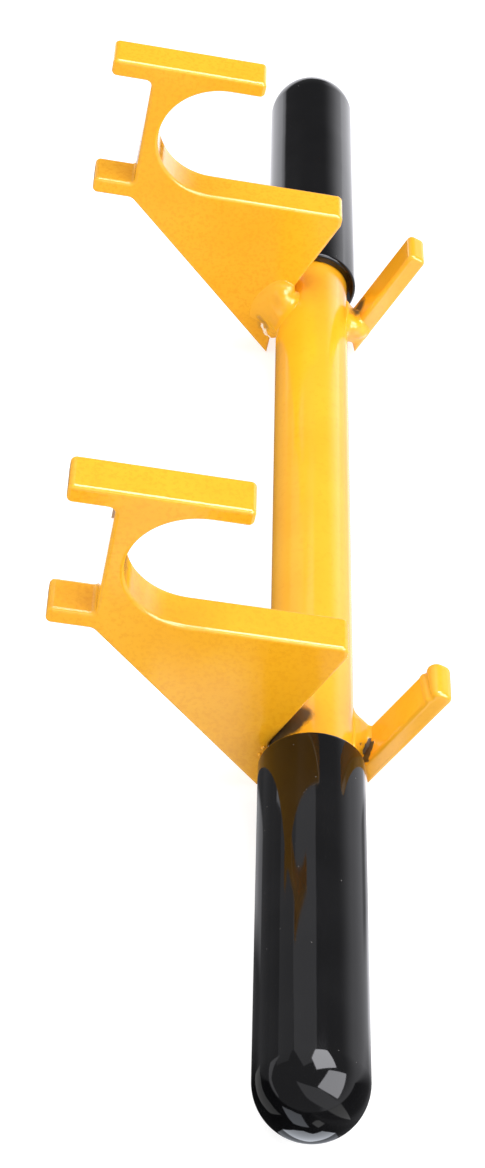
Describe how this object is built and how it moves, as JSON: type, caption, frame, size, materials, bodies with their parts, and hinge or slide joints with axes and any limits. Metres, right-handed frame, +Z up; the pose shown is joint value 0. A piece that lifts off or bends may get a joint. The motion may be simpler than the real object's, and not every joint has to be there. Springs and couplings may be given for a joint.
{
  "type": "two-hook carrying handle",
  "caption": "Welded steel carrying handle: round tube with open-mouthed hook plates and slanting stop pegs near its ends, and domed push-on grips over both ends.",
  "frame": {"origin": "on the surface the handle lies on, at the centre of its outline seen from above", "axes": "+Y along the tube towards the far end, +X from the hooks towards the pegs, +Z up from the surface; the hook plates stand square to Y and lean 10 degrees towards +X, because the handle lies on both grips and on the ground feet of both plates"},
  "size_m": [0.1168, 0.4746, 0.1227],
  "materials": {
    "yellow_paint": "semi-gloss yellow powder coat with fine orange peel",
    "painted_weld": "yellow powder coat over rippled weld beads",
    "black_vinyl": "glossy black dip-moulded vinyl"
  },
  "bodies": {
    "root": {"handle_tube": "yellow_paint", "near_hook_plate": "yellow_paint", "far_hook_plate": "yellow_paint", "near_peg": "yellow_paint", "far_peg": "yellow_paint", "near_grip": "black_vinyl", "far_grip": "black_vinyl", "near_hook_weld": "painted_weld", "far_hook_weld": "painted_weld", "near_peg_weld": "painted_weld", "far_peg_weld": "painted_weld"}
  },
  "joints": []
}
